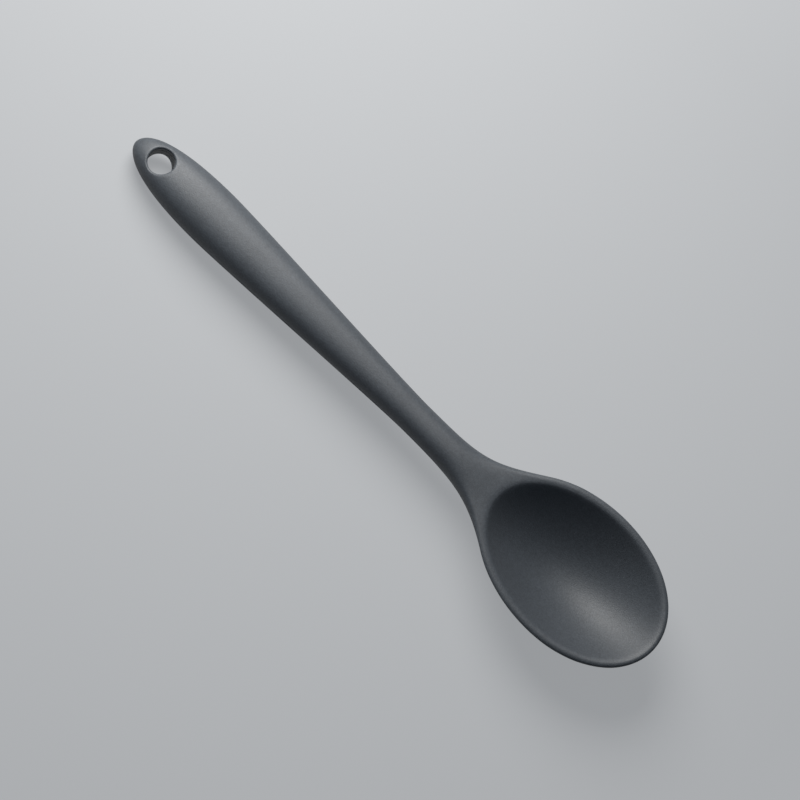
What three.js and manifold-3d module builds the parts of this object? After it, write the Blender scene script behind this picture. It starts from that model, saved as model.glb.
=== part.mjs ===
// Silicone cooking spoon: a moulded silicone skin over a stiff nylon core.
// Millimetres. +X runs from the handle end to the tip of the bowl, +Z is up, and the spoon
// lies on the plane z = 0, on a small flat under the bowl and another under the handle end.
import * as THREE from 'three';
import { mergeVertices } from 'three/addons/utils/BufferGeometryUtils.js';
import Module from 'manifold-3d';

const wasm = await Module();
wasm.setup();

// Outline seen from above
const LENGTH = 270;
const BOWL_WIDTH = 56.4;
const BOWL_REACH = 42.2; // middle of the bowl to its tip
const BOWL_EGG = 0.035; // narrowing of the bowl towards the neck
const RIM_WIDTH = 2.9;
const TIP_RIM = 2.2; // width of the rim at the tip
const NECK_WIDTH = 13;
const NECK_TO_BOWL = 81; // narrowest place to the middle of the bowl
const HANDLE_WIDTH = 22.4;
const HANDLE_WIDEST = 40; // handle end to its widest place

// Heights, measured from the straight middle line of the handle
const HANDLE_THICKNESS = 17;
const NECK_THICKNESS = 12.5;
const NECK_RUN = 18; // narrowest place to the first rise towards the rim
const RIM_RISE = 5;
const PARTING_RISE = 3.9; // widest line of the rim
const RIM_ROUND = 2; // way in from that line to the top of the rim
const BOWL_DEPTH = 18.4;
const BOWL_FLOOR = 4.6; // wall at the bottom of the bowl
const DEEPEST = 4.2; // lowest place, from the middle of the bowl towards the neck
const HANDLE_REST = 22; // handle end to the flat that it lies on
const REST_FLAT = 0.3; // depth taken off by each flat that the spoon lies on

// Hanging hole
const HOLE_DIAMETER = 10.2;
const HOLE_FROM_END = 12.4;
const HOLE_EDGE = 0.8; // rounding of its mouths

// Core
const SKIN_COVER = 2.6; // silicone over the spine
const EYE_WALL = 1.5;
const EYE_HEIGHT = 3;
const EYE_RUN = 14; // length over which the spine narrows towards the eye
const PADDLE_THICKNESS = 1.2;
const PADDLE_SIDE = 11.2; // paddle to the inside of the rim, at the sides
const PADDLE_END = 17.4; // the same at the tip
const SPINE_KEYS = 6;
const SPINE_KEY_DIAMETER = 3.6;
const FIRST_KEY = 16; // start of the spine to its first keying hole
const PADDLE_KEYS = 6;
const PADDLE_KEY_DIAMETER = 5;
const CLEARANCE = 0.3; // core to skin

// Form of the sections
const OVAL = 2.3; // roundness of the handle
const BOWL_POWER = 2; // inside of the bowl
const UNDERSIDE_POWER = 2.1; // outside of the bowl, across
const UNDERSIDE_ROOT = 1.05; // fullness of the same section
const KEEL_POWER = 2.3; // outside of the bowl, towards its tip
const INNER_EDGE = 0.06; // softness of the edge between rim and bowl
const JOIN_SHARE = 0.7; // egg kept on the neck's side, over BOWL_REACH
const FLARE_PULLS = [0.53, 0.38]; // fullness of the neck's outline at its two ends
const KEEL_PULLS = [0.45, 0.62]; // the same for the line under the neck
const CORE_OVAL = 3; // roundness of the core
const EYE_SHARE = 0.62; // width of the spine at the eye
const SPINE_FADE = [-0.5, 0.4]; // where the spine's width ends on the paddle
const SPINE_THIN = -0.7; // where the spine has the paddle's thickness
const KEY_RING = 0.62; // ring of keying holes on the paddle
const PADDLE_NOSE = 0.12; // half-angle of its blunt end

const handleEnd = -LENGTH / 2;
const tip = LENGTH / 2;
const bowlX = tip - BOWL_REACH;
const neckX = bowlX - NECK_TO_BOWL;
const gripX = handleEnd + HANDLE_WIDEST;
const holeX = handleEnd + HOLE_FROM_END;
const joinX = bowlX - JOIN_SHARE * BOWL_REACH;
const deepX = bowlX - DEEPEST;
const holeRadius = HOLE_DIAMETER / 2;
const mouthRadius = holeRadius + HOLE_EDGE;
const eyeRadius = holeRadius + EYE_WALL;
const bowlHalf = BOWL_WIDTH / 2;
const insideReach = BOWL_REACH - (RIM_WIDTH + TIP_RIM) / 2;
const insideX = bowlX + (RIM_WIDTH - TIP_RIM) / 2;
const insideHalf = bowlHalf - RIM_WIDTH;
const neckHalf = NECK_WIDTH / 2;
const neckThick = NECK_THICKNESS / 2;
const bowlDrop = BOWL_DEPTH + BOWL_FLOOR - RIM_RISE;

const { lerp, smoothstep, clamp } = THREE.MathUtils;
const bezier = (...p) => new THREE.CubicBezierCurve(
  new THREE.Vector2(p[0], p[1]),
  new THREE.Vector2(p[2], p[3]),
  new THREE.Vector2(p[4], p[5]),
  new THREE.Vector2(p[6], p[7]),
);

const STEP = 0.01; // length over which a slope is taken
const HALVINGS = 40; // steps of the search along a curve
const WELD = 1e-4; // points closer than this are one

// Height of a curve that always runs towards +X
function heightOn(curve, x) {
  let low = 0;
  let high = 1;
  for (let i = 0; i < HALVINGS; i += 1) {
    const t = (low + high) / 2;
    if (curve.getPoint(t).x < x) low = t;
    else high = t;
  }
  return curve.getPoint(low).y;
}

// Handle: rounded end, widest place, long taper to the neck
const noseCurve = bezier(0, 0, 0, 0.2, 0.06, 1, 1, 1);
const taperCurve = bezier(0, 0, 0.15, 0, 0.86, 1, 1, 1);
function handleHalf(x, grip, neck) {
  if (x <= gripX) return grip * heightOn(noseCurve, clamp((x - handleEnd) / HANDLE_WIDEST, 0, 1));
  return lerp(grip, neck, heightOn(taperCurve, Math.min((x - gripX) / (neckX - gripX), 1)));
}
const handleThick = (x) => handleHalf(x, HANDLE_THICKNESS / 2, neckThick);

function eggHalf(x, middle, reach, half) {
  const s = (x - middle) / reach;
  return half * (1 + BOWL_EGG * s) * Math.sqrt(Math.max(0, 1 - s * s));
}

// Neck: a curve that leaves the handle straight and meets the egg of the bowl in one line
const joinHalf = eggHalf(joinX, bowlX, BOWL_REACH, bowlHalf);
const joinSlope = (eggHalf(joinX + STEP, bowlX, BOWL_REACH, bowlHalf) - joinHalf) / STEP;
const flareRun = joinX - neckX;
const flareCurve = bezier(
  neckX, neckHalf,
  neckX + FLARE_PULLS[0] * flareRun, neckHalf,
  joinX - FLARE_PULLS[1] * flareRun, joinHalf - FLARE_PULLS[1] * flareRun * joinSlope,
  joinX, joinHalf,
);
function halfWidth(x) {
  if (x >= joinX) return eggHalf(x, bowlX, BOWL_REACH, bowlHalf);
  if (x >= neckX) return heightOn(flareCurve, x);
  return handleHalf(x, HANDLE_WIDTH / 2, neckHalf);
}

// Side view: the keel under the spoon, the widest line and the crown over it
const bowlShare = (x) => smoothstep(x, neckX + NECK_RUN, joinX);
const keelCurve = bezier(
  neckX, -neckThick,
  lerp(neckX, deepX, KEEL_PULLS[0]), -neckThick,
  lerp(neckX, deepX, KEEL_PULLS[1]), -bowlDrop,
  deepX, -bowlDrop,
);
function keel(x) {
  if (x <= neckX) return -handleThick(x);
  if (x <= deepX) return heightOn(keelCurve, x);
  const rise = ((x - deepX) / (tip - deepX)) ** KEEL_POWER;
  return lerp(-bowlDrop, PARTING_RISE, rise);
}
const parting = (x) => PARTING_RISE * bowlShare(x);
const crown = (x) => lerp(handleThick(x), RIM_RISE, bowlShare(x));

// How the spoon lies: handle end and bowl both touch the plane z = 0
const restX = handleEnd + HANDLE_REST;
const restHandle = handleThick(restX) - REST_FLAT;
const restBowl = bowlDrop - REST_FLAT;
const lie = (x) => lerp(restHandle, restBowl, (x - restX) / (deepX - restX));

const oval = (v) => Math.max(0, 1 - v ** OVAL) ** (1 / OVAL);
const soft = (t) => (t + Math.hypot(t, INNER_EDGE)) / 2;
function insideBowl(x, y) {
  const s = (x - insideX) / insideReach;
  return Math.hypot(s, y / (insideHalf * (1 + BOWL_EGG * s)));
}
function acrossShare(x, y) {
  const half = halfWidth(x);
  return half > 0 ? Math.min(1, Math.abs(y) / half) : 1;
}

// Upper surface, with the hollow of the bowl; edgeGap is the distance to the outline
function upper(x, y, edgeGap = Infinity) {
  const low = parting(x);
  const near = Math.max(0, 1 - edgeGap / RIM_ROUND);
  const rounded = Math.sqrt(1 - near * near);
  const rise = (crown(x) - low) * lerp(oval(acrossShare(x, y)), rounded, bowlShare(x));
  const scoop = BOWL_DEPTH * soft(1 - insideBowl(x, y) ** BOWL_POWER);
  const edgeFade = Math.min(1, edgeGap / TIP_RIM);
  return lie(x) + low + rise - scoop * edgeFade;
}
function under(x, y) {
  const low = parting(x);
  const v = acrossShare(x, y);
  const bowl = (1 - v ** UNDERSIDE_POWER) ** (1 / UNDERSIDE_ROOT);
  return lie(x) + low - (low - keel(x)) * lerp(oval(v), bowl, bowlShare(x));
}

// Closed solids
function toSolid(positions) {
  const source = new THREE.BufferGeometry();
  source.setAttribute('position', new THREE.Float32BufferAttribute(positions, 3));
  const welded = mergeVertices(source, WELD);
  const triVerts = [];
  for (let i = 0; i < welded.index.count; i += 3) {
    const [a, b, c] = [0, 1, 2].map((k) => welded.index.getX(i + k));
    if (a !== b && b !== c && c !== a) triVerts.push(a, b, c);
  }
  return new wasm.Manifold(new wasm.Mesh({
    numProp: 3,
    vertProperties: new Float32Array(welded.attributes.position.array),
    triVerts: new Uint32Array(triVerts),
  }));
}
function shapeToSolid(geometry) {
  const loose = geometry.toNonIndexed();
  return toSolid(Array.from(loose.attributes.position.array));
}
function rod(x, y, z, radius, height, sides) {
  const shape = new THREE.CylinderGeometry(radius, radius, height, sides);
  shape.rotateX(Math.PI / 2);
  shape.translate(x, y, z);
  return shapeToSolid(shape);
}
function quad(out, a, b, c, d) {
  out.push(...a, ...b, ...c, ...a, ...c, ...d);
}

// Lines across half of the spoon, from its middle or from the edge of an opening to the outline
const BOWL_LINES = 24;
const HANDLE_LINES = 28;
const HOLE_LINES = 12;
const SHOULDER = 4; // past the mouth of the hole, where the lines turn to it
function acrossLine(ix, iy, ox) {
  const oy = halfWidth(ox);
  const slope = (halfWidth(Math.min(ox + STEP, tip)) - halfWidth(ox - STEP)) / (2 * STEP);
  return {
    inner: new THREE.Vector2(ix, iy),
    outer: new THREE.Vector2(ox, oy),
    normal: new THREE.Vector2(-slope, 1).normalize(),
  };
}
const joinAngle = Math.acos((joinX - bowlX) / BOWL_REACH);
const lines = [];
for (let k = 0; k <= BOWL_LINES; k += 1) {
  const turn = (Math.PI * k) / BOWL_LINES;
  const ix = insideX + insideReach * Math.cos(turn);
  const past = Math.max(0, turn - joinAngle);
  const round = bowlX + BOWL_REACH * Math.cos(Math.min(turn, joinAngle));
  const iy = k === BOWL_LINES ? 0 : eggHalf(ix, insideX, insideReach, insideHalf);
  lines.push(acrossLine(ix, iy, round - past * BOWL_REACH * Math.sin(joinAngle)));
}
const apex = lines[BOWL_LINES];
const shoulderX = holeX + mouthRadius + SHOULDER;
for (let k = 1; k < HANDLE_LINES; k += 1) {
  const t = k / HANDLE_LINES;
  lines.push(acrossLine(
    lerp(apex.inner.x, holeX + mouthRadius, t),
    0,
    lerp(apex.outer.x, shoulderX, t),
  ));
}
const firstHoleLine = lines.length;
for (let k = 0; k <= HOLE_LINES; k += 1) {
  const turn = (Math.PI * k) / HOLE_LINES;
  const ox = lerp(handleEnd, shoulderX, (1 + Math.cos(turn)) / 2);
  const iy = k % HOLE_LINES === 0 ? 0 : mouthRadius * Math.sin(turn);
  lines.push(acrossLine(holeX + mouthRadius * Math.cos(turn), iy, ox));
}

const ACROSS = [0, 0.2, 0.4, 0.58, 0.72, 0.83, 0.91, 0.965, 1];
const RINGS = [1, 0.965, 0.92, 0.83, 0.68, 0.5, 0.28, 0];
const MOUTH_TURNS = [0, Math.PI / 4, Math.PI / 2];

// The whole outside of the spoon as one closed body
function outside() {
  const out = [];
  const onLine = (line, v) => {
    const p = line.inner.clone().lerp(line.outer, v);
    const gap = line.outer.clone().sub(p).dot(line.normal);
    const top = v === 1 ? lie(p.x) + parting(p.x) : upper(p.x, p.y, gap);
    return { x: p.x, y: p.y, top, low: v === 1 ? top : under(p.x, p.y) };
  };
  const inBowl = (line, ring) => {
    const x = lerp(insideX, line.inner.x, ring);
    const y = line.inner.y * ring;
    return ring === 1 ? onLine(line, 0) : { x, y, top: upper(x, y), low: under(x, y) };
  };
  // One patch of the plan makes a patch of the upper and one of the lower surface
  const patch = (a, b, c, d) => {
    for (const side of [1, -1]) {
      const up = [a, b, c, d].map((p) => [p.x, side * p.y, p.top]);
      const down = [d, c, b, a].map((p) => [p.x, side * p.y, p.low]);
      if (side < 0) [up, down].forEach((corners) => corners.reverse());
      quad(out, ...up);
      quad(out, ...down);
    }
  };
  for (let k = 0; k + 1 < lines.length; k += 1) {
    const [here, next] = [lines[k], lines[k + 1]];
    for (let j = 0; j + 1 < ACROSS.length; j += 1) {
      const [v0, v1] = [ACROSS[j], ACROSS[j + 1]];
      patch(onLine(here, v0), onLine(here, v1), onLine(next, v1), onLine(next, v0));
    }
    if (k < BOWL_LINES) {
      for (let j = 0; j + 1 < RINGS.length; j += 1) {
        const [r0, r1] = [RINGS[j], RINGS[j + 1]];
        patch(inBowl(here, r1), inBowl(here, r0), inBowl(next, r0), inBowl(next, r1));
      }
    }
  }
  // Wall of the hanging hole with its rounded mouths
  const wall = (line) => {
    const edge = onLine(line, 0);
    const away = new THREE.Vector2(edge.x - holeX, edge.y).divideScalar(mouthRadius);
    const at = (turn, z, sign) => {
      const radius = mouthRadius - HOLE_EDGE * Math.sin(turn);
      return [holeX + away.x * radius, away.y * radius, z - sign * HOLE_EDGE * (1 - Math.cos(turn))];
    };
    const tops = MOUTH_TURNS.map((turn) => at(turn, edge.top, 1));
    const lows = MOUTH_TURNS.map((turn) => at(turn, edge.low, -1));
    return [...tops, ...lows.reverse()];
  };
  for (let k = firstHoleLine; k + 1 < lines.length; k += 1) {
    const [here, next] = [wall(lines[k]), wall(lines[k + 1])];
    for (let j = 0; j + 1 < here.length; j += 1) {
      const corners = [here[j], next[j], next[j + 1], here[j + 1]];
      quad(out, ...corners);
      quad(out, ...corners.map(([x, y, z]) => [x, -y, z]).reverse());
    }
  }
  return toSolid(out);
}

// Core, or with grow above zero the room that the skin leaves for it
const PADDLE_STATIONS = 12;
const SPINE_STATIONS = 20;
const SECTION = [0.98, 0.85, 0.6, 0.3, 0, -0.3, -0.6, -0.85, -0.98];
const SLOPE_ALLOWANCE = 1.2; // clearance in a section, over that between sloping faces
const EYE_SIDES = 24;
const KEY_SIDES = 14;
const paddleReach = insideReach - PADDLE_END;
const paddleHalf = insideHalf - PADDLE_SIDE;
const spineStart = holeX + holeRadius + EYE_WALL / 2;
// Half-width of the core, where spine and paddle run into each other
function coreHalf(x) {
  const spine = handleHalf(x, HANDLE_WIDTH / 2, neckHalf) - SKIN_COVER;
  const shoulder = lerp(EYE_SHARE, 1, smoothstep(x, spineStart, spineStart + EYE_RUN));
  const [from, to] = SPINE_FADE.map((share) => bowlX + share * paddleReach);
  const fade = 1 - smoothstep(x, from, to);
  const paddle = eggHalf(x, bowlX, paddleReach, paddleHalf);
  return Math.sqrt(Math.hypot((spine * shoulder * fade) ** 2, paddle ** 2));
}
function coreThick(x) {
  const intoBowl = smoothstep(x, neckX + NECK_RUN, bowlX + SPINE_THIN * paddleReach);
  return lerp(handleThick(x) - SKIN_COVER, PADDLE_THICKNESS / 2, intoBowl);
}
const middle = (x, y) => (upper(x, y) + under(x, y)) / 2;
const outward = (a, b) => new THREE.Vector2(b.y - a.y, a.x - b.x).normalize();
function core(grow) {
  const stations = [];
  const paddleStart = bowlX - paddleReach;
  for (let k = 0; k < SPINE_STATIONS; k += 1) {
    stations.push(lerp(spineStart, paddleStart, k / SPINE_STATIONS));
  }
  for (let k = 0; k <= PADDLE_STATIONS; k += 1) {
    const turn = lerp(Math.PI, PADDLE_NOSE, k / PADDLE_STATIONS);
    stations.push(bowlX + paddleReach * Math.cos(turn));
  }
  const last = stations.length - 1;
  const section = (x) => {
    const at = (v, side) => {
      const y = v * coreHalf(x);
      const rise = coreThick(x) * (1 - Math.abs(v) ** CORE_OVAL) ** (1 / CORE_OVAL);
      return new THREE.Vector2(y, middle(x, y) + side * rise);
    };
    const over = SECTION.map((v) => at(v, 1));
    const below = SECTION.map((v) => at(v, -1));
    return [...over, ...below.reverse()];
  };
  const ring = (x, k) => {
    const points = section(x);
    const shift = k === 0 ? -grow : grow * (k === last);
    return points.map((p, j) => {
      const before = outward(points.at(j - 1), p);
      const after = outward(p, points[(j + 1) % points.length]);
      const mitre = (SLOPE_ALLOWANCE * grow) / (1 + before.dot(after));
      return [x + shift, p.x + mitre * (before.x + after.x), p.y + mitre * (before.y + after.y)];
    });
  };
  const out = [];
  const rings = stations.map(ring);
  const points = 2 * SECTION.length;
  for (let k = 0; k < last; k += 1) {
    for (let j = 0; j < points; j += 1) {
      const n = (j + 1) % points;
      quad(out, rings[k][j], rings[k][n], rings[k + 1][n], rings[k + 1][j]);
    }
  }
  for (let j = 1; j + 1 < points; j += 1) {
    out.push(...rings[0][0], ...rings[0][j + 1], ...rings[0][j]);
    out.push(...rings[last][0], ...rings[last][j], ...rings[last][j + 1]);
  }
  const eyeZ = lie(holeX);
  const eye = rod(holeX, 0, eyeZ, eyeRadius + grow, EYE_HEIGHT + 2 * grow, EYE_SIDES);
  let body = toSolid(out).add(eye);
  const drill = (x, y, diameter, sides) => {
    body = body.subtract(rod(x, y, lie(x), diameter / 2 - grow, LENGTH, sides));
  };
  drill(holeX, 0, HOLE_DIAMETER, EYE_SIDES);
  for (let k = 0; k < SPINE_KEYS; k += 1) {
    drill(lerp(spineStart + FIRST_KEY, neckX, k / (SPINE_KEYS - 1)), 0, SPINE_KEY_DIAMETER, KEY_SIDES);
  }
  for (let k = 0; k < PADDLE_KEYS; k += 1) {
    const turn = (2 * Math.PI * (k + 0.5)) / PADDLE_KEYS;
    const x = bowlX + KEY_RING * paddleReach * Math.cos(turn);
    drill(x, KEY_RING * paddleHalf * Math.sin(turn), PADDLE_KEY_DIAMETER, KEY_SIDES);
  }
  return body;
}

const belowRest = new THREE.BoxGeometry(2 * LENGTH, 2 * LENGTH, LENGTH);
belowRest.translate(0, 0, -LENGTH / 2);
const skinSolid = outside().subtract(shapeToSolid(belowRest)).subtract(core(CLEARANCE));
const coreSolid = core(0);

function toMesh(solid, name, material) {
  const { numProp, vertProperties, triVerts } = solid.getMesh();
  const positions = [];
  for (let i = 0; i < vertProperties.length; i += numProp) {
    positions.push(vertProperties[i], vertProperties[i + 1], vertProperties[i + 2]);
  }
  const geometry = new THREE.BufferGeometry();
  geometry.setAttribute('position', new THREE.Float32BufferAttribute(positions, 3));
  geometry.setIndex(Array.from(triVerts));
  geometry.computeVertexNormals();
  const mesh = new THREE.Mesh(geometry, material);
  mesh.name = name;
  return mesh;
}

const silicone = new THREE.MeshStandardMaterial({ color: 0x4d5257, roughness: 0.62, metalness: 0 });
const nylon = new THREE.MeshStandardMaterial({ color: 0x26272a, roughness: 0.5, metalness: 0 });

const spoon = new THREE.Group();
spoon.name = 'silicone_spoon';
spoon.add(toMesh(skinSolid, 'silicone_skin', silicone));
spoon.add(toMesh(coreSolid, 'nylon_core', nylon));

export default spoon;
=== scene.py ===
"""Looks of a silicone spoon: a fine moulded skin and its finish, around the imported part.

The frame is the part's own: +X runs from the handle end to the tip of the bowl, +Z is up and the
spoon lies on z = 0. The form is worked out in millimetres and becomes metres in the meshes.
"""
import math

import bmesh
import bpy
import numpy as np
from mathutils import Matrix, Vector
from mathutils.bvhtree import BVHTree


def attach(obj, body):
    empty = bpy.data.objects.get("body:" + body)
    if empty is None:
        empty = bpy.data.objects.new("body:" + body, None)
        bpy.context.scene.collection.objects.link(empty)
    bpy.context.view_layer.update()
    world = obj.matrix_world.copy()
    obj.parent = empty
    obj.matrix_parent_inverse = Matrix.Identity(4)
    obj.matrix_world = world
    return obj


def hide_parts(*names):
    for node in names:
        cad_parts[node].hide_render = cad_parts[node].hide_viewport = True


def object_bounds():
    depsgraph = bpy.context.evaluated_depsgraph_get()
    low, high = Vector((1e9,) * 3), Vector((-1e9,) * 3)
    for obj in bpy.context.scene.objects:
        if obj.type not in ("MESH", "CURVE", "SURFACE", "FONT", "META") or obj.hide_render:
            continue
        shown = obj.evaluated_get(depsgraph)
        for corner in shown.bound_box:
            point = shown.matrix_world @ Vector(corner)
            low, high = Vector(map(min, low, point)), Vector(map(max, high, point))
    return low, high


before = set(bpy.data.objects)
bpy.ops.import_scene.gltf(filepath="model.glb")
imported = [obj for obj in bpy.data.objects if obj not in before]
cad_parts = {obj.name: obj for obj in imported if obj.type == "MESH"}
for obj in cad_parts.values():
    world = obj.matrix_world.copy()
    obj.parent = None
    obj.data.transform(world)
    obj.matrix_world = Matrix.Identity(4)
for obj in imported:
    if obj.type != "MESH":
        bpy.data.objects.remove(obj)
cad_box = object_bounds()

MM = 0.001

# Outline seen from above
LENGTH = (cad_box[1].x - cad_box[0].x) / MM
BOWL_WIDTH = (cad_box[1].y - cad_box[0].y) / MM
BOWL_REACH = 42.2  # middle of the bowl to its tip
BOWL_EGG = 0.035  # narrowing of the bowl towards the neck
RIM_WIDTH = 2.9
TIP_RIM = 2.2  # width of the rim at the tip
NECK_WIDTH = 13
NECK_TO_BOWL = 81  # narrowest place to the middle of the bowl
HANDLE_WIDTH = 22.4
HANDLE_WIDEST = 40  # handle end to its widest place

# Heights, measured from the straight middle line of the handle
HANDLE_THICKNESS = 17
NECK_THICKNESS = 12.5
NECK_RUN = 18  # narrowest place to the first rise towards the rim
RIM_RISE = 5
PARTING_RISE = 3.9  # widest line of the rim
RIM_ROUND = 2  # way in from that line to the top of the rim
BOWL_DEPTH = 18.4
BOWL_FLOOR = 4.6  # wall at the bottom of the bowl
DEEPEST = 4.2  # lowest place, from the middle of the bowl towards the neck
HANDLE_REST = 22  # handle end to the flat that it lies on
REST_FLAT = 0.3  # depth taken off by each flat that the spoon lies on

# Hanging hole
HOLE_DIAMETER = 10.2
HOLE_FROM_END = 12.4
HOLE_EDGE = 0.8  # rounding of its mouths

# Form of the sections
OVAL = 2.3  # roundness of the handle
BOWL_POWER = 2  # inside of the bowl
UNDERSIDE_POWER = 2.1  # outside of the bowl, across
UNDERSIDE_ROOT = 1.05
KEEL_POWER = 2.3  # outside of the bowl, towards its tip
INNER_EDGE = 0.06  # softness of the edge between rim and bowl
JOIN_SHARE = 0.7  # egg kept on the neck's side, over BOWL_REACH
FLARE_PULLS = (0.53, 0.38)  # fullness of the neck's outline at its two ends
KEEL_PULLS = (0.45, 0.62)  # the same for the line under the neck

# Seam where the two halves of the mould met
FLASH_HEIGHT = 0.16
FLASH_BASE = 0.15  # height of the seam above and below the widest line
FLASH_RUN = (34, 3)  # lines between its long waves, and their seed
FLASH_NICKS = (5, 8)  # the same for its short waves
FLASH_SHOWS = (0.25, 0.75)  # long wave at which the seam starts to show, and shows in full
FLASH_LEAST = 0.35  # share of the height that is left in a nick

handle_end = -LENGTH / 2
tip = LENGTH / 2
bowl_x = tip - BOWL_REACH
neck_x = bowl_x - NECK_TO_BOWL
grip_x = handle_end + HANDLE_WIDEST
hole_x = handle_end + HOLE_FROM_END
join_x = bowl_x - JOIN_SHARE * BOWL_REACH
deep_x = bowl_x - DEEPEST
hole_radius = HOLE_DIAMETER / 2
mouth_radius = hole_radius + HOLE_EDGE
bowl_half = BOWL_WIDTH / 2
inside_reach = BOWL_REACH - (RIM_WIDTH + TIP_RIM) / 2
inside_x = bowl_x + (RIM_WIDTH - TIP_RIM) / 2
inside_half = bowl_half - RIM_WIDTH
neck_half = NECK_WIDTH / 2
neck_thick = NECK_THICKNESS / 2
bowl_drop = BOWL_DEPTH + BOWL_FLOOR - RIM_RISE
rim_height = RIM_RISE - PARTING_RISE


def lerp(a, b, t):
    return a + (b - a) * t


def smoothstep(x, low, high):
    t = np.clip((x - low) / (high - low), 0, 1)
    return t * t * (3 - 2 * t)


CURVE_POINTS = 3000


def height_on(points, x):
    """Height at x of a cubic curve that always runs towards +X."""
    t = np.linspace(0, 1, CURVE_POINTS)[:, None]
    a, b, c, d = np.array(points, float)
    curve = (1 - t) ** 3 * a + 3 * (1 - t) ** 2 * t * b + 3 * (1 - t) * t**2 * c + t**3 * d
    return np.interp(x, curve[:, 0], curve[:, 1])


# Handle: rounded end, widest place, long taper to the neck
NOSE_CURVE = ((0, 0), (0, 0.2), (0.06, 1), (1, 1))
TAPER_CURVE = ((0, 0), (0.15, 0), (0.86, 1), (1, 1))


def handle_half(x, grip, neck):
    nose = grip * height_on(NOSE_CURVE, (x - handle_end) / HANDLE_WIDEST)
    taper = lerp(grip, neck, height_on(TAPER_CURVE, (x - grip_x) / (neck_x - grip_x)))
    return np.where(x <= grip_x, nose, taper)


def handle_thick(x):
    return handle_half(x, HANDLE_THICKNESS / 2, neck_thick)


def egg_half(x, middle, reach, half):
    s = (x - middle) / reach
    return half * (1 + BOWL_EGG * s) * np.sqrt(np.maximum(0, 1 - s * s))


# Neck: a curve that leaves the handle straight and meets the egg of the bowl in one line
STEP = 0.01  # length over which a slope is taken
TINY = 1e-9  # least width to divide by
join_half = egg_half(join_x, bowl_x, BOWL_REACH, bowl_half)
join_slope = (egg_half(join_x + STEP, bowl_x, BOWL_REACH, bowl_half) - join_half) / STEP
flare_run = join_x - neck_x
flare_curve = (
    (neck_x, neck_half),
    (neck_x + FLARE_PULLS[0] * flare_run, neck_half),
    (join_x - FLARE_PULLS[1] * flare_run, join_half - FLARE_PULLS[1] * flare_run * join_slope),
    (join_x, join_half),
)


def half_width(x):
    bowl = egg_half(x, bowl_x, BOWL_REACH, bowl_half)
    handle = handle_half(x, HANDLE_WIDTH / 2, neck_half)
    return np.where(x >= join_x, bowl, np.where(x >= neck_x, height_on(flare_curve, x), handle))


# Side view: the keel under the spoon, the widest line and the crown over it
keel_curve = (
    (neck_x, -neck_thick),
    (lerp(neck_x, deep_x, KEEL_PULLS[0]), -neck_thick),
    (lerp(neck_x, deep_x, KEEL_PULLS[1]), -bowl_drop),
    (deep_x, -bowl_drop),
)


def bowl_share(x):
    return smoothstep(x, neck_x + NECK_RUN, join_x)


def keel(x):
    rise = np.clip((x - deep_x) / (tip - deep_x), 0, 1) ** KEEL_POWER
    front = lerp(-bowl_drop, PARTING_RISE, rise)
    back = np.where(x <= neck_x, -handle_thick(x), height_on(keel_curve, x))
    return np.where(x <= deep_x, back, front)


def parting(x):
    return PARTING_RISE * bowl_share(x)


# How the spoon lies: handle end and bowl both touch the floor
rest_x = handle_end + HANDLE_REST
rest_handle = float(handle_thick(rest_x)) - REST_FLAT
rest_bowl = bowl_drop - REST_FLAT


def lie(x):
    return lerp(rest_handle, rest_bowl, (x - rest_x) / (deep_x - rest_x))


def oval(v):
    return np.maximum(0, 1 - v**OVAL) ** (1 / OVAL)


def inside_bowl(x, y):
    s = (x - inside_x) / inside_reach
    return np.hypot(s, y / (inside_half * (1 + BOWL_EGG * s)))


def across_share(x, y):
    return np.minimum(1, np.abs(y) / np.maximum(half_width(x), TINY))


def upper(x, y, edge_gap):
    """Height of the upper surface, with the hollow of the bowl; edge_gap is the way to the outline."""
    low = parting(x)
    share = bowl_share(x)
    crown = lerp(handle_thick(x), RIM_RISE, share)
    near = np.maximum(0, 1 - edge_gap / RIM_ROUND)
    rise = (crown - low) * lerp(oval(across_share(x, y)), np.sqrt(np.maximum(0, 1 - near * near)), share)
    into = 1 - inside_bowl(x, y) ** BOWL_POWER
    scoop = BOWL_DEPTH * (into + np.hypot(into, INNER_EDGE)) / 2
    return lie(x) + low + rise - scoop * np.minimum(1, edge_gap / TIP_RIM)


def under(x, y):
    """Height of the underside, cut flat where the spoon lies on the floor."""
    low = parting(x)
    v = across_share(x, y)
    bowl = np.maximum(0, 1 - v**UNDERSIDE_POWER) ** (1 / UNDERSIDE_ROOT)
    depth = (low - keel(x)) * lerp(oval(v), bowl, bowl_share(x))
    return np.maximum(0, lie(x) + low - depth)


# Lines across half of the spoon, from its middle or from the edge of an opening to the outline
BOWL_LINES = 110
HANDLE_LINES = 230
HOLE_LINES = 48
ROWS = 27
RIM_ROWS = 12
RINGS = 26
MOUTH_ROWS = 8
WALL_ROWS = 4
SHOULDER = 4  # the lines spread round the hole from this far before its mouth


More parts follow.
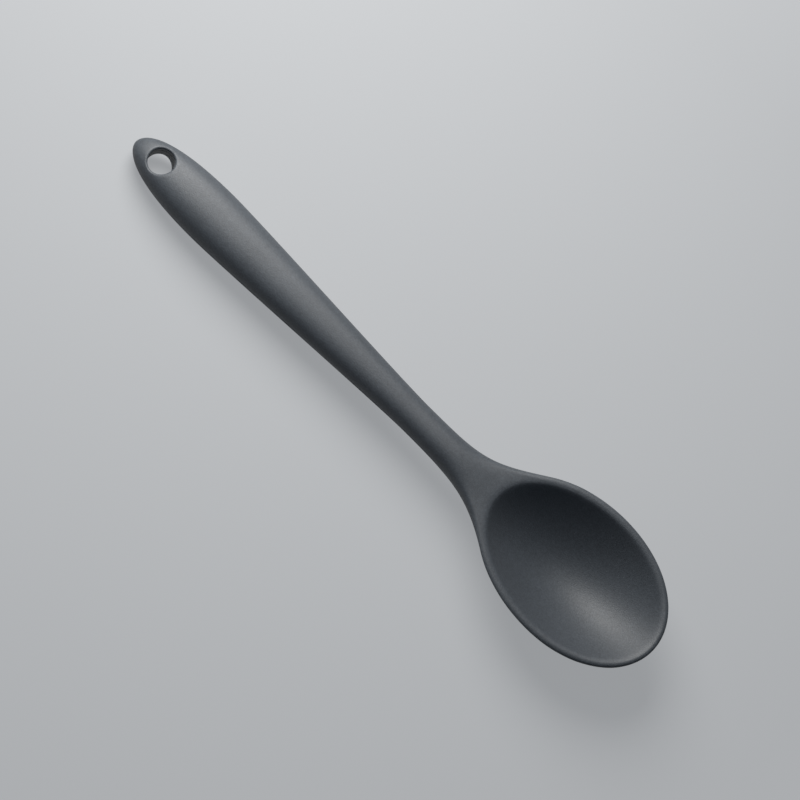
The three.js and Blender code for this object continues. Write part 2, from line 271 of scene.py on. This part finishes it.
def plan_lines():
    """Inner end, outer end and outward direction of every line, from the tip to the handle end."""
    join_angle = math.acos((join_x - bowl_x) / BOWL_REACH)
    turn = np.linspace(0, np.pi, BOWL_LINES + 1)
    bowl_in = inside_x + inside_reach * np.cos(turn)
    past = np.maximum(0, turn - join_angle) * BOWL_REACH * math.sin(join_angle)
    bowl_out = bowl_x + BOWL_REACH * np.cos(np.minimum(turn, join_angle)) - past
    shoulder_x = hole_x + mouth_radius + SHOULDER
    t = np.arange(1, HANDLE_LINES) / HANDLE_LINES
    handle_in = lerp(bowl_in[-1], hole_x + mouth_radius, t)
    handle_out = lerp(bowl_out[-1], shoulder_x, t)
    round_hole = np.linspace(0, np.pi, HOLE_LINES + 1)
    hole_in = hole_x + mouth_radius * np.cos(round_hole)
    hole_out = lerp(handle_end, shoulder_x, (1 + np.cos(round_hole)) / 2)

    bowl_side = egg_half(bowl_in, inside_x, inside_reach, inside_half)
    hole_side = mouth_radius * np.sin(round_hole)
    bowl_side[[0, -1]] = 0
    hole_side[[0, -1]] = 0
    inner_x = np.concatenate([bowl_in, handle_in, hole_in])
    inner_y = np.concatenate([bowl_side, np.zeros_like(handle_in), hole_side])
    outer_x = np.concatenate([bowl_out, handle_out, hole_out])
    outer_y = half_width(outer_x)
    outer_y[[0, -1]] = 0
    slope = (half_width(np.minimum(outer_x + STEP, tip)) - half_width(outer_x - STEP)) / (2 * STEP)
    away = np.stack([-slope, np.ones_like(slope)], 1)
    away[0] = (1, 0)
    away[-1] = (-1, 0)
    away /= np.linalg.norm(away, axis=1, keepdims=True)
    return np.stack([inner_x, inner_y], 1), np.stack([outer_x, outer_y], 1), away


def across_rows(inner, outer, away):
    """Share of the way to the outline of each row, closest together where the surface turns."""
    width = ((outer - inner) * away).sum(1)[:, None]
    last = math.acos((FLASH_BASE / handle_thick(grip_x)) ** (OVAL / 2))
    on_handle = np.sin(np.linspace(0, last, ROWS)) ** (2 / OVAL)
    last = math.acos(FLASH_BASE / rim_height)
    flat = np.linspace(0, 1, RIM_ROWS)[:-1]
    bend = np.sin(np.linspace(0, last, ROWS - RIM_ROWS + 1))
    on_rim = np.concatenate([
        flat * (width - RIM_ROUND) / width,
        1 - RIM_ROUND * (1 - bend) / width,
    ], axis=1)
    share = bowl_share(outer[:, :1])
    rows = lerp(on_handle[None, :], on_rim, share)
    return np.concatenate([rows, np.ones_like(width)], axis=1)


def smooth_noise(count, spacing, seed):
    """A closed ring of soft random values from 0 to 1, with a new value every so many points."""
    knots = np.random.default_rng(seed).random(max(4, count // spacing))
    at = np.linspace(0, len(knots), count, endpoint=False)
    low = np.floor(at).astype(int)
    t = smoothstep(at - low, 0, 1)
    return lerp(knots[low % len(knots)], knots[(low + 1) % len(knots)], t)


def seam_heights(count):
    """How far the seam stands out at each line, on the +Y side and on the -Y side."""
    ring = 2 * (count - 1)
    long_waves = smooth_noise(ring, *FLASH_RUN)
    short_waves = smooth_noise(ring, *FLASH_NICKS)
    seam = FLASH_HEIGHT * smoothstep(long_waves, *FLASH_SHOWS) * lerp(FLASH_LEAST, 1, short_waves)
    return seam[:count], np.concatenate([seam[:1], seam[: count - 2 : -1]])


class Patches:
    """Collects grids of points as quads, for one mesh."""

    def __init__(self):
        self.points = []
        self.faces = []
        self.count = 0

    def grid(self, points, flip):
        rows, columns = points.shape[:2]
        index = self.count + np.arange(rows * columns).reshape(rows, columns)
        corners = (index[:-1, :-1], index[:-1, 1:], index[1:, 1:], index[1:, :-1])
        quads = np.stack(corners, -1).reshape(-1, 4)
        self.points.append(points.reshape(-1, 3))
        self.faces.extend((quads[:, ::-1] if flip else quads).tolist())
        self.count += rows * columns

    def both_surfaces(self, x, y, top, low, side):
        self.grid(np.stack([x, side * y, top], -1), side < 0)
        self.grid(np.stack([x, side * y, low], -1), side > 0)


def skin_outside(slot_low, slot_high):
    """The whole outside of the skin, open in the hanging hole where the core shows."""
    inner, outer, away = plan_lines()
    rows = across_rows(inner, outer, away)
    plan = inner[:, None] + rows[:, :, None] * (outer - inner)[:, None]
    gap = ((outer[:, None] - plan) * away[:, None]).sum(-1)
    x, y = plan[..., 0], plan[..., 1]
    widest = lie(x[:, -1:]) + parting(x[:, -1:])
    top = np.concatenate([upper(x, y, gap)[:, :-1], widest], 1)
    low = np.concatenate([under(x, y)[:, :-1], widest], 1)
    patches = Patches()
    for side, seam in zip((1, -1), seam_heights(len(inner))):
        proud = np.zeros_like(plan)
        proud[:, -1] = seam[:, None] * away
        patches.both_surfaces(x + proud[..., 0], y + proud[..., 1], top, low, side)

    ring = np.sin(np.linspace(math.pi / 2, 0, RINGS))
    rim = inner[: BOWL_LINES + 1]
    bx = inside_x + ring[None, :] * (rim[:, :1] - inside_x)
    by = ring[None, :] * rim[:, 1:]
    hollow = upper(bx, by, np.inf)
    hollow[:, 0] = top[: BOWL_LINES + 1, 0]
    for side in (1, -1):
        patches.both_surfaces(bx[:, ::-1], by[:, ::-1], hollow[:, ::-1], under(bx, by)[:, ::-1], side)

    first = len(inner) - HOLE_LINES - 1
    around = (inner[first:] - (hole_x, 0)) / mouth_radius
    turn = np.linspace(0, math.pi / 2, MOUTH_ROWS)
    radius = np.concatenate([mouth_radius - HOLE_EDGE * np.sin(turn), np.full(WALL_ROWS, hole_radius)])
    sink = HOLE_EDGE * (1 - np.cos(turn))
    wall = np.linspace(0, 1, WALL_ROWS + 1)[1:]
    for edge, into, stop in ((top[first:, :1], 1, slot_high), (low[first:, :1], -1, slot_low)):
        mouth = edge - into * sink
        height = np.concatenate([mouth, lerp(mouth[:, -1:], stop, wall)], 1)
        for side in (1, -1):
            px = hole_x + around[:, :1] * radius
            py = side * around[:, 1:] * radius
            patches.grid(np.stack([px, py, height], -1), (side > 0) == (into > 0))
    return patches


BORE_MARGIN = 0.05  # a face this close to the bore belongs to it
WELD = 1e-4  # points closer than this are one
SHARP_ANGLE = math.radians(50)


def core_room():
    """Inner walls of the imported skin, from the face nearest to the core as far as the bore."""
    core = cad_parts["nylon_core"].data
    tree = BVHTree.FromPolygons([v.co for v in core.vertices], [p.vertices[:] for p in core.polygons])
    # Bare points and faces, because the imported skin's own normals would spoil the sharp edges
    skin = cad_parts["silicone_skin"].data
    room = bmesh.new()
    points = [room.verts.new(v.co) for v in skin.vertices]
    for face in skin.polygons:
        room.faces.new([points[i] for i in face.vertices])
    bmesh.ops.remove_doubles(room, verts=room.verts, dist=WELD * MM)
    centre = Vector((hole_x, 0)) * MM
    reach = (hole_radius + BORE_MARGIN) * MM
    off_bore = {f for f in room.faces if any((v.co.xy - centre).length > reach for v in f.verts)}
    first = min(off_bore, key=lambda f: tree.find_nearest(f.calc_center_median())[3])
    walls = {first}
    waiting = [first]
    while waiting:
        for edge in waiting.pop().edges:
            fresh = [f for f in edge.link_faces if f in off_bore and f not in walls]
            walls.update(fresh)
            waiting.extend(fresh)
    bmesh.ops.delete(room, geom=[f for f in room.faces if f not in walls], context="FACES")
    return room


def open_edges(bm):
    return [e for e in bm.edges if len(e.link_faces) == 1]


def close_slot(bm, rims):
    """Fills the slivers between the round bore and the fewer-sided edge of the slot for the core."""
    ring = sorted({v for e in rims for v in e.verts}, key=lambda v: math.atan2(v.co.y, v.co.x - hole_x * MM))
    place = {v: i for i, v in enumerate(ring)}
    for edge in rims:
        low, high = sorted(place[v] for v in edge.verts)
        if high - low > len(ring) / 2:
            low, high = high, low + len(ring)
        if high - low > 1:
            bm.faces.new([ring[i % len(ring)] for i in range(low, high + 1)])


# Painted highlight: the rim of the bowl and the mouths of the hanging hole are coloured paler, as if lit
HIGHLIGHT_FADE = 1.2  # width over which it fades out beside the rim and the hole
HIGHLIGHT_BELOW = 0.4  # how far it reaches down the outside of the rim


def add_painted_highlight(mesh):
    """Marks each point from 0, as moulded, to 1, fully paler for the painted highlight."""
    points = np.array([v.co for v in mesh.vertices]) / MM
    x, y, z = points.T
    into = (inside_bowl(x, y) - 1) * inside_half
    above = z - lie(x) - parting(x)
    rim = smoothstep(into, -HIGHLIGHT_FADE, 0) * (1 - smoothstep(into, RIM_WIDTH, RIM_WIDTH + HIGHLIGHT_FADE))
    rim *= bowl_share(x) * smoothstep(above, -HIGHLIGHT_BELOW, HIGHLIGHT_BELOW)
    away = np.hypot(x - hole_x, y) - hole_radius
    mouth = smoothstep(away, 0, HOLE_EDGE / 2) * (1 - smoothstep(away, HOLE_EDGE, HOLE_EDGE + HIGHLIGHT_FADE))
    # The painted highlight on the rim and the hole's mouths is kept as a point attribute for the silicone's
    # colour
    painted_highlight = mesh.attributes.new("painted_highlight", "FLOAT", "POINT")
    painted_highlight.data.foreach_set("value", np.maximum(rim, mouth).astype(np.float32))


def make_skin():
    room = core_room()
    mouth = [v.co.z / MM for e in open_edges(room) for v in e.verts]
    patches = skin_outside(min(mouth), max(mouth))
    outside = bpy.data.meshes.new("outside")
    outside.from_pydata(np.concatenate(patches.points) * MM, [], patches.faces)
    room.from_mesh(outside)
    bmesh.ops.remove_doubles(room, verts=room.verts, dist=WELD * MM)
    middle = (min(mouth) + max(mouth)) / 2 * MM
    rims = open_edges(room)
    for above in (True, False):
        close_slot(room, [e for e in rims if (e.verts[0].co.z > middle) == above])
    bmesh.ops.recalc_face_normals(room, faces=room.faces)
    mesh = bpy.data.meshes.new("silicone_body")
    room.to_mesh(mesh)
    room.free()
    bpy.data.meshes.remove(outside)
    mesh.shade_smooth()
    mesh.set_sharp_from_angle(angle=SHARP_ANGLE)
    # Paints a highlight on the rim and the hole's mouths through a point attribute
    add_painted_highlight(mesh)
    skin = bpy.data.objects.new("silicone_body", mesh)
    bpy.context.scene.collection.objects.link(skin)
    return skin


def node(tree, kind, **settings):
    made = tree.nodes.new(kind)
    for name, value in settings.items():
        setattr(made, name, value)
    return made


def new_material(name):
    material = bpy.data.materials.new(name)
    material.use_nodes = True
    tree = material.node_tree
    return material, tree, tree.nodes["Principled BSDF"]


def noise(tree, coordinates, scale, detail):
    made = node(tree, "ShaderNodeTexNoise")
    made.inputs["Scale"].default_value = scale
    made.inputs["Detail"].default_value = detail
    tree.links.new(coordinates, made.inputs["Vector"])
    return made.outputs["Fac"]


def spread(tree, value, low, high, to_low, to_high):
    made = node(tree, "ShaderNodeMapRange")
    for name, number in (("From Min", low), ("From Max", high), ("To Min", to_low), ("To Max", to_high)):
        made.inputs[name].default_value = number
    tree.links.new(value, made.inputs["Value"])
    return made.outputs["Result"]


def colour_mix(tree, share, low, high):
    made = node(tree, "ShaderNodeMix", data_type="RGBA")
    tree.links.new(share, made.inputs["Factor"])
    for socket, colour in ((made.inputs[6], low), (made.inputs[7], high)):
        if isinstance(colour, tuple):
            socket.default_value = colour
        else:
            tree.links.new(colour, socket)
    return made.outputs[2]


NOISE_SPAN = (0.3, 0.7)  # most values of a noise lie between these

# Silicone: colours, among them a paler one for the painted highlight, sizes of its patterns as noise scales,
# and finish
SLATE_DEEP = (0.0693, 0.081, 0.0956, 1)
SLATE_LIGHT = (0.0765, 0.0895, 0.1056, 1)
# Paler slate painted on the rim and the hole's mouths as a highlight
SLATE_PAINTED_HIGHLIGHT = (0.0915, 0.105, 0.122, 1)
CLOUD_SCALE = 45
HIGHLIGHT_PATCH_SCALE = 220
HIGHLIGHT_PATCHES = (0.55, 1)  # strength of the painted highlight from patch to patch
SPECKLES = ((600, 0.07), (1600, 0.17))  # scale, and change of tone either way
GRAIN_SCALE = 2600
GRAIN_HEIGHT = 0.0001
GRAIN_STRENGTH = 0.8
SILICONE_ROUGHNESS = (0.5, 0.6)
SILICONE_SPECULAR = 0.85
SILICONE_SHEEN = 0.05
SHEEN_ROUGHNESS = 0.5


def silicone_material():
    """Matte moulded silicone: soft clouds in the colour, a fine grain, and a painted highlight on the rim
    and the hole's mouths.
    """
    material, tree, shader = new_material("silicone_with_painted_highlight")
    at = node(tree, "ShaderNodeTexCoord").outputs["Object"]
    cloud = noise(tree, at, CLOUD_SCALE, 3)
    grain = noise(tree, at, GRAIN_SCALE, 2)
    moulded = colour_mix(tree, spread(tree, cloud, *NOISE_SPAN, 0, 1), SLATE_DEEP, SLATE_LIGHT)
    # Painted highlight: the paler slate is mixed in, in patches, where the point attribute marks the rim and
    # the hole's mouths
    painted_highlight = node(tree, "ShaderNodeAttribute", attribute_name="painted_highlight").outputs["Fac"]
    patchy_highlight = node(tree, "ShaderNodeMath", operation="MULTIPLY")
    tree.links.new(painted_highlight, patchy_highlight.inputs[0])
    patches = spread(tree, noise(tree, at, HIGHLIGHT_PATCH_SCALE, 3), *NOISE_SPAN, *HIGHLIGHT_PATCHES)
    tree.links.new(patches, patchy_highlight.inputs[1])
    tone = colour_mix(tree, patchy_highlight.outputs[0], moulded, SLATE_PAINTED_HIGHLIGHT)
    for scale, change in SPECKLES:
        speckle = node(tree, "ShaderNodeHueSaturation")
        shade = spread(tree, noise(tree, at, scale, 2), *NOISE_SPAN, 1 - change, 1 + change)
        tree.links.new(tone, speckle.inputs["Color"])
        tree.links.new(shade, speckle.inputs["Value"])
        tone = speckle.outputs["Color"]
    tree.links.new(tone, shader.inputs["Base Color"])
    tree.links.new(spread(tree, grain, *NOISE_SPAN, *SILICONE_ROUGHNESS), shader.inputs["Roughness"])
    shader.inputs["Specular IOR Level"].default_value = SILICONE_SPECULAR
    shader.inputs["Sheen Weight"].default_value = SILICONE_SHEEN
    shader.inputs["Sheen Roughness"].default_value = SHEEN_ROUGHNESS
    bump = node(tree, "ShaderNodeBump")
    bump.inputs["Strength"].default_value = GRAIN_STRENGTH
    bump.inputs["Distance"].default_value = GRAIN_HEIGHT
    tree.links.new(grain, bump.inputs["Height"])
    tree.links.new(bump.outputs["Normal"], shader.inputs["Normal"])
    return material


NYLON_DEEP = (0.017, 0.018, 0.02, 1)
NYLON_LIGHT = (0.024, 0.025, 0.027, 1)
FILLER_SCALE = 1500
NYLON_ROUGHNESS = (0.42, 0.55)


def nylon_material():
    """Dark filled nylon, as moulded."""
    material, tree, shader = new_material("nylon_finish")
    at = node(tree, "ShaderNodeTexCoord").outputs["Object"]
    grain = noise(tree, at, FILLER_SCALE, 3)
    tone = colour_mix(tree, grain, NYLON_DEEP, NYLON_LIGHT)
    tree.links.new(tone, shader.inputs["Base Color"])
    tree.links.new(spread(tree, grain, *NOISE_SPAN, *NYLON_ROUGHNESS), shader.inputs["Roughness"])
    return material


NEAR_GLOW = 0.32
FAR_GLOW = 0.58
GLOW_RUN = (0.2, 0.9)  # ways from the middle at which the near glow ends and the far glow begins
FLOOR_PALE = (0.234, 0.24, 0.248, 1)
FLOOR_DARK = (0.03, 0.03, 0.03, 1)
STUDIO_TINT = (0.97, 1, 1.035, 1)


def floor_material():
    """Pale to the camera, dark to the light that it throws back at the spoon."""
    material, tree, shader = new_material("floor")
    path = node(tree, "ShaderNodeLightPath").outputs
    seen = node(tree, "ShaderNodeMath", operation="MAXIMUM")
    tree.links.new(path["Is Camera Ray"], seen.inputs[0])
    tree.links.new(path["Is Glossy Ray"], seen.inputs[1])
    through = node(tree, "ShaderNodeMath", operation="MAXIMUM")
    tree.links.new(seen.outputs[0], through.inputs[0])
    tree.links.new(path["Is Transmission Ray"], through.inputs[1])
    tone = colour_mix(tree, through.outputs[0], FLOOR_DARK, FLOOR_PALE)
    tree.links.new(tone, shader.inputs["Base Color"])
    shader.inputs["Roughness"].default_value = 0.9
    shader.inputs["Specular IOR Level"].default_value = 0.1
    shader.inputs["Emission Color"].default_value = STUDIO_TINT
    away = node(tree, "ShaderNodeVectorMath", operation="LENGTH")
    tree.links.new(node(tree, "ShaderNodeNewGeometry").outputs["Position"], away.inputs[0])
    glow = node(tree, "ShaderNodeMath", operation="MULTIPLY")
    tree.links.new(through.outputs[0], glow.inputs[0])
    far = spread(tree, away.outputs["Value"], *GLOW_RUN, NEAR_GLOW, FAR_GLOW)
    tree.links.new(far, glow.inputs[1])
    tree.links.new(glow.outputs[0], shader.inputs["Emission Strength"])
    return material


FLOOR_SIZE = 12.0


def make_floor():
    mesh = bpy.data.meshes.new("floor")
    half = FLOOR_SIZE / 2
    corners = [(-half, -half, 0), (half, -half, 0), (half, half, 0), (-half, half, 0)]
    mesh.from_pydata(corners, [], [(0, 1, 2, 3)])
    floor = bpy.data.objects.new("floor", mesh)
    mesh.materials.append(floor_material())
    bpy.context.scene.collection.objects.link(floor)


# View of the photograph
CAMERA_ROLL = math.radians(13.5)  # turn of the view about the length of the spoon
CAMERA_PITCH = math.atan(lie(1) - lie(0))  # along the spoon, as it lies
IMAGE_TURN = math.radians(44.75)  # the spoon's length below the horizontal of the image
CAMERA_DISTANCE = 1.0
VIEW_WIDTH = 0.2974  # width of the view at the spoon
SENSOR_WIDTH = 36
VIEW_CENTRE = (2.6, -0.5)


def view_axes():
    """Right, up and back of the image, in the frame of the part."""
    back = Vector((
        -math.sin(CAMERA_PITCH) * math.cos(CAMERA_ROLL),
        -math.sin(CAMERA_ROLL),
        math.cos(CAMERA_PITCH) * math.cos(CAMERA_ROLL),
    ))
    along = Vector((math.cos(CAMERA_PITCH), 0, math.sin(CAMERA_PITCH)))
    across = back.cross(along)
    right = along * math.cos(IMAGE_TURN) + across * math.sin(IMAGE_TURN)
    up = across * math.cos(IMAGE_TURN) - along * math.sin(IMAGE_TURN)
    return right, up, back


def aim(obj, place, right, up, back):
    turn = Matrix((right, up, back)).transposed().to_4x4()
    obj.matrix_world = Matrix.Translation(place) @ turn


def make_camera():
    data = bpy.data.cameras.new("camera")
    data.sensor_width = SENSOR_WIDTH
    data.lens = SENSOR_WIDTH * CAMERA_DISTANCE / VIEW_WIDTH
    camera = bpy.data.objects.new("camera", data)
    bpy.context.scene.collection.objects.link(camera)
    x, y = VIEW_CENTRE
    centre = Vector((x, y, float(lie(x)) + RIM_RISE)) * MM
    right, up, back = view_axes()
    aim(camera, centre + back * CAMERA_DISTANCE, right, up, back)
    bpy.context.scene.camera = camera


KEY_LEAN = math.radians(52.5)  # from the line of sight towards the top of the image
KEY_TURN = math.radians(3)  # from the top of the image towards its right
KEY_DISTANCE = 0.48
KEY_SIZE = 0.37
KEY_POWER = 2.8
KEY_COLOUR = (1.02, 1, 0.97)


def make_light():
    right, up, back = view_axes()
    side = up * math.cos(KEY_TURN) + right * math.sin(KEY_TURN)
    towards = back * math.cos(KEY_LEAN) + side * math.sin(KEY_LEAN)
    level = side.cross(back)
    data = bpy.data.lights.new("key", "AREA")
    data.shape = "DISK"
    data.size = KEY_SIZE
    data.energy = KEY_POWER
    data.color = KEY_COLOUR
    key = bpy.data.objects.new("key", data)
    bpy.context.scene.collection.objects.link(key)
    aim(key, towards * KEY_DISTANCE, level, towards.cross(level), towards)


FILL_COLOUR = (0.65, 1, 1.45, 1)
WORLD_LIGHT = 0.025
WORLD_SEEN = 0.62


def make_world():
    world = bpy.data.worlds.new("studio")
    world.use_nodes = True
    tree = world.node_tree
    background = tree.nodes["Background"]
    seen = node(tree, "ShaderNodeLightPath").outputs["Is Camera Ray"]
    colour = colour_mix(tree, seen, FILL_COLOUR, STUDIO_TINT)
    tree.links.new(colour, background.inputs["Color"])
    tree.links.new(spread(tree, seen, 0, 1, WORLD_LIGHT, WORLD_SEEN), background.inputs["Strength"])
    bpy.context.scene.world = world


bpy.context.scene.view_settings.view_transform = "Standard"
make_camera()
make_light()
make_world()
make_floor()

skin = make_skin()
skin.data.materials.append(silicone_material())
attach(skin, "root")
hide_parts("silicone_skin")

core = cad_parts["nylon_core"]
core.data.materials.clear()
core.data.materials.append(nylon_material())
